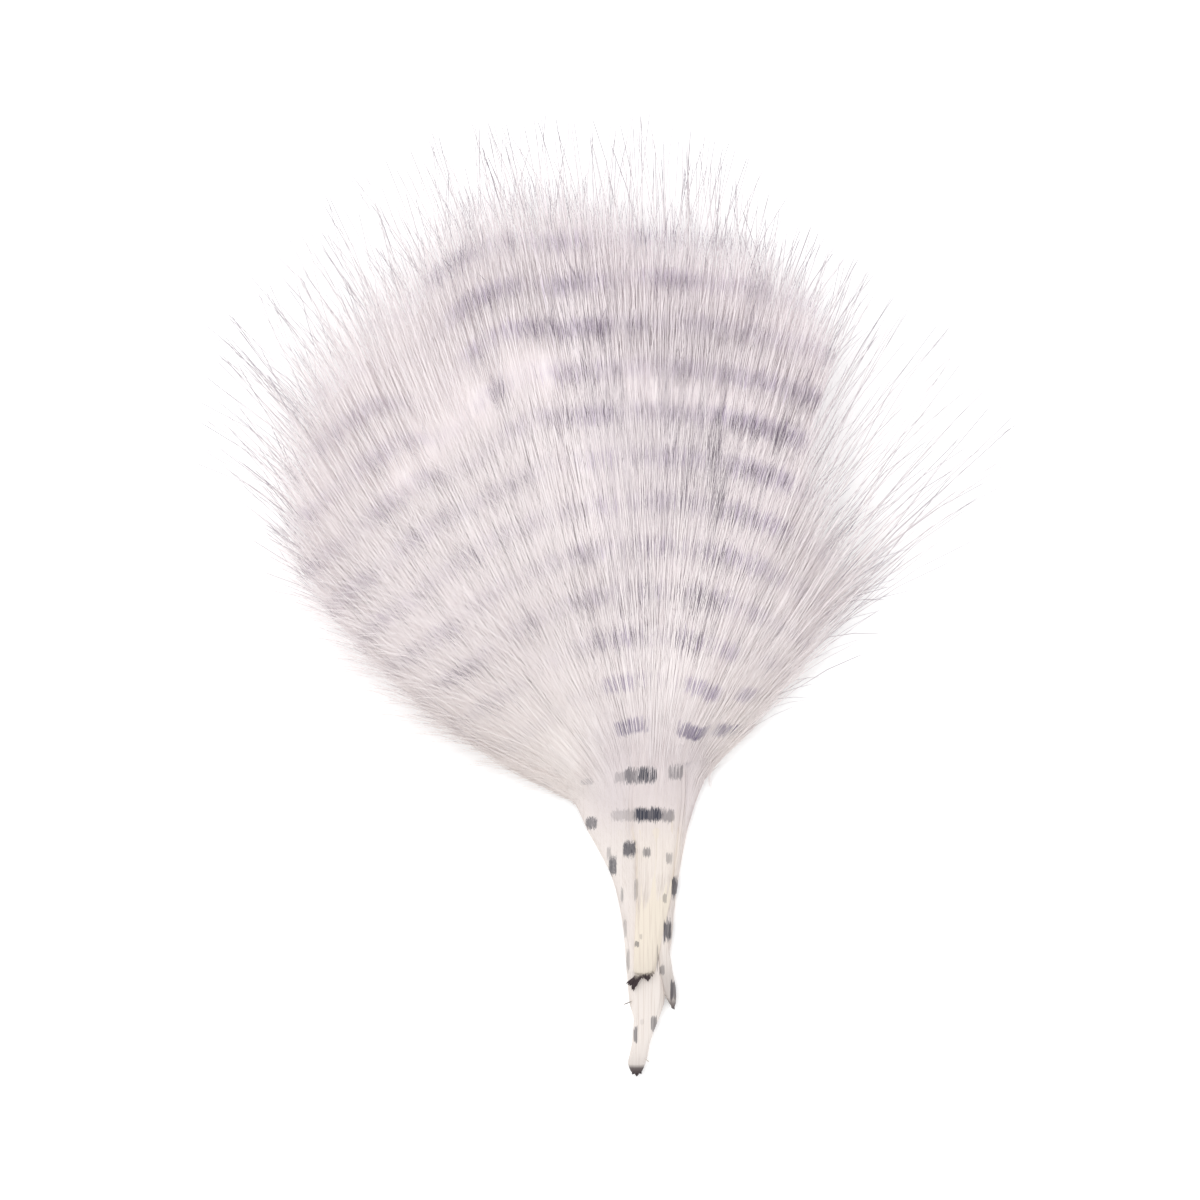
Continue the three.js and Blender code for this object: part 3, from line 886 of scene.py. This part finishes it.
def plumage(name, pale, warm, dark_end, stem_marks):
    """Down, barbs or quill: pale in the fan and warm at the stem, the warm colour partly painted shade near
    the throat, with painted shade of mauve grey over the throat itself, each strand in its own tone, with
    slate bars that fade to mauve outwards, dark tips, and where stem_marks are given, fine lines along
    the stem and those dark marks on it."""
    shader = Shader(name)
    place = shader.add("ShaderNodeTexCoord", output="Object")
    spread = shader.add("ShaderNodeSeparateXYZ", None, place)
    x = spread / MM - THROAT_X
    y = Socket(shader, spread.output.node.outputs[1]) / MM - THROAT_Y
    along, strength = shader.number("along"), shader.number("barring")
    tone, tip = shader.number("tone"), shader.number("tip")
    off = abs(((along - FIRST_BAR) / BAR_PITCH + 20.5).fraction() - 0.5) * BAR_PITCH
    out = y.step(8, 45)
    bar = 1 - off.step(BAR_CORE - 0.35 * out, BAR_EDGE + 0.8 * out)
    bar = bar * strength
    # Warm near the stem and throat, pale in the fan: the warm colour is the stem's own cream, partly
    # darkened as painted shade where the pile shades itself near the throat.
    base = shader.mix(y.step(-6, 34), colour(*warm), colour(*pale))
    shade = shader.mix(y.step(20, 90), colour(*SHADE_NEAR), colour(*SHADE_FAR))
    base = shader.mix(0.2 - 0.2 * tone, base, shade)
    # Painted shade: the throat is mixed towards a mauve grey, as if the pile shaded itself there.
    throat = y.step(-4, 5) * (1 - y.step(9, 26)) * (1 - abs(x).step(5, 13))
    base = shader.mix(0.4 * throat, base, colour(*PAINTED_THROAT_SHADE))
    slate = shader.mix(y.step(4, 30), colour(*SLATE), colour(*MAUVE))
    feathered = shader.mix(bar, base, slate)
    if stem_marks:
        strands = shader.add("ShaderNodeCombineXYZ", None, x / 0.16, y / 2.2, tone * 5)
        fine = shader.add("ShaderNodeTexNoise", None, strands, Scale=1.0, Detail=1.0)
        ragged = (fine - 0.5) * 3.5
        lengthwise = shader.add("ShaderNodeCombineXYZ", None, x / 0.22, y / 11, tone * 3)
        lines = shader.add("ShaderNodeTexNoise", None, lengthwise, Scale=1.0, Detail=1.0)
        pressed = lines.step(0.5, 0.68) * (1 - y.step(-4, 16))
        feathered = shader.mix(pressed * 0.4 * (1 - bar), feathered, colour(*PRESSED_LINE))
        marks = 0.0
        for mark_x, mark_y, wide, long, dark in stem_marks:
            reach_x = (x - mark_x) / wide + ragged * 0.2
            reach_y = (y - mark_y) / long + ragged * 0.6
            spot = 1 - (reach_x**6 + reach_y**4).step(0.4, 1.5)
            marks = (spot * dark).most(marks)
        marks = marks * (0.8 + 0.2 * lines.step(0.35, 0.6))
        feathered = shader.mix(marks, feathered, colour(*STEM_MARK))
    feathered = shader.mix(tip, feathered, colour(*dark_end))
    return shader.finish(Base_Color=feathered, Roughness=0.75 + 0.2 * tone, Specular_IOR_Level=0.25)


def dress(piece, key, material):
    """Gives a piece its material, hangs it under the root body and hides the solid of the feather's node."""
    piece.data.materials.append(material)
    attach(piece, "root")
    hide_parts(FEATHERS[key]["node"])


throat_marks = [mark for mark in STEM_MARKS if mark[1] > 0]
# The warm colours given here are the stem's cream, partly darkened as painted shade for the throat.
white_down = plumage("white_down", WHITE, (234, 226, 221), DARK_TIP, [])
cream_down = plumage("cream_down", CREAM, (231, 222, 214), DARK_TIP, throat_marks)
white_barbs = plumage("white_barbs", WHITE, (231, 223, 218), DARK_TIP, STEM_MARKS)
cream_barbs = plumage("cream_barbs", CREAM, (231, 222, 214), DARK_TIP, STEM_MARKS)
dry_quill = plumage("dry_quill", HORN, (227, 217, 202), DRIED_END, STEM_MARKS)
pale_quill = plumage("pale_quill", HORN, (227, 219, 213), DRIED_END, STEM_MARKS)

for key, feather in FEATHERS.items():
    down = cream_down if feather["upper"] else white_down
    barbs = cream_barbs if feather["upper"] else white_barbs
    dress(long_barbs(key), key, barbs)
    dress(tufts(key), key, down)
    dress(down_bed(key), key, down)
    dress(dark_spikes(key), key, down)
    dress(quill(key), key, dry_quill if feather["upper"] else pale_quill)
dress(rim_hairs(), "left", white_down)
dress(wisps(), "left", white_down)
dress(pale_shafts(), "top", white_down)
dress(torn_ends(), "top", dry_quill)

# Floor, light and camera, in metres, and the middle of the view in millimetres from the throat.
FLOOR_HALF = 1.5
PAPER_GLOW = 0.15
SKY_STRENGTH = 1.05
LIGHT_PLACE = (-0.35, 0.45, 1.0)
LIGHT_SIZE = 0.8
LIGHT_POWER = 3.0
VIEW_WIDTH = 0.180
VIEW_MIDDLE = (-7.5, 34.5)
CAMERA_HEIGHT = 1.0
SENSOR = 36.0
floor_mesh = bpy.data.meshes.new("floor")
corners = [(-FLOOR_HALF, -FLOOR_HALF, 0), (FLOOR_HALF, -FLOOR_HALF, 0), (FLOOR_HALF, FLOOR_HALF, 0)]
floor_mesh.from_pydata(corners + [(-FLOOR_HALF, FLOOR_HALF, 0)], [], [(0, 1, 2, 3)])
floor = bpy.data.objects.new("floor", floor_mesh)
bpy.context.collection.objects.link(floor)
paper = Shader("paper").finish(
    Base_Color=colour(*PAPER), Roughness=0.9, Emission_Color=(1, 1, 1, 1), Emission_Strength=PAPER_GLOW
)
floor_mesh.materials.append(paper)

world = bpy.data.worlds.new("studio")
bpy.context.scene.world = world
world.use_nodes = True
sky = world.node_tree.nodes["Background"]
sky.inputs["Color"].default_value = (1, 1, 1, 1)
sky.inputs["Strength"].default_value = SKY_STRENGTH


def soft_light(name, place, size, power):
    """A square area light that looks at the plume."""
    data = bpy.data.lights.new(name, "AREA")
    data.size = size
    data.energy = power
    lamp = bpy.data.objects.new(name, data)
    lamp.location = place
    away = Vector(place)
    lamp.rotation_mode = "QUATERNION"
    lamp.rotation_quaternion = away.to_track_quat("Z", "Y")
    bpy.context.collection.objects.link(lamp)


soft_light("overhead", LIGHT_PLACE, LIGHT_SIZE, LIGHT_POWER)

camera_data = bpy.data.cameras.new("camera")
camera_data.lens = SENSOR * CAMERA_HEIGHT / VIEW_WIDTH
camera_data.sensor_width = SENSOR
camera = bpy.data.objects.new("camera", camera_data)
camera.location = ((THROAT_X + VIEW_MIDDLE[0]) * MM, (THROAT_Y + VIEW_MIDDLE[1]) * MM, CAMERA_HEIGHT)
bpy.context.collection.objects.link(camera)
bpy.context.scene.camera = camera
bpy.context.scene.view_settings.view_transform = "Standard"
